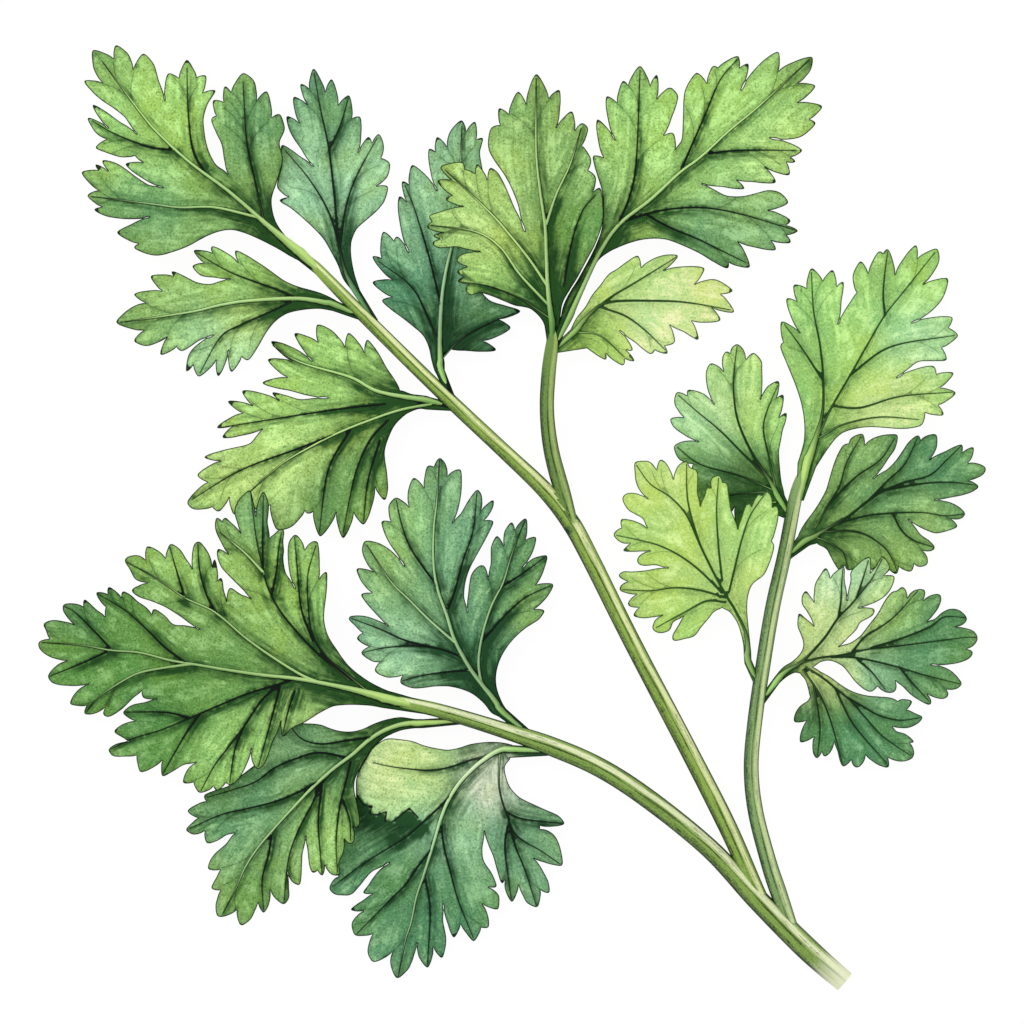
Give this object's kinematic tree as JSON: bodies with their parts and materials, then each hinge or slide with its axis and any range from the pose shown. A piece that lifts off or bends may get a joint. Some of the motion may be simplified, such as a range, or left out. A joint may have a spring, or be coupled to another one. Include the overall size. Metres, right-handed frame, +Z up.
{
  "type": "coriander bunch",
  "caption": "Small fresh coriander bunch lying flat: leafy stalks that share one cut stem, each with flat, deeply lobed and toothed green leaves.",
  "frame": {"origin": "bottom centre of the box round the whole bunch, on the surface it lies on", "axes": "+Z up from the surface; -Y and +X towards the cut stem end at lower right; +Y towards the leaf tips"},
  "size_m": [0.1518, 0.1514, 0.0064],
  "materials": {
    "pale_stem": "soft, fresh stem",
    "green_stalk": "soft, fresh stem",
    "leaf_green": "soft leaf, slight sheen",
    "leaf_blue_green": "soft leaf, slight sheen",
    "leaf_yellow_green": "soft leaf, slight sheen"
  },
  "bodies": {
    "root": {"main_stem": "pale_stem", "middle_stalk": "green_stalk", "right_stalk": "green_stalk", "middle_tip_leaf": "leaf_green", "middle_upper_leaf": "leaf_blue_green", "middle_outer_leaf": "leaf_yellow_green", "middle_lower_leaf": "leaf_green", "middle_inner_leaf": "leaf_blue_green", "branch_tip_leaf": "leaf_green", "branch_outer_leaf": "leaf_green", "branch_inner_leaf": "leaf_yellow_green", "right_tip_leaf": "leaf_yellow_green", "right_inner_leaf": "leaf_blue_green", "right_lower_leaf": "leaf_yellow_green", "right_outer_leaf": "leaf_green", "right_foot_leaf": "leaf_green", "left_tip_leaf": "leaf_green", "left_upper_leaf": "leaf_blue_green", "left_lower_outer_leaf": "leaf_green", "left_lower_inner_leaf": "leaf_blue_green"}
  },
  "joints": []
}
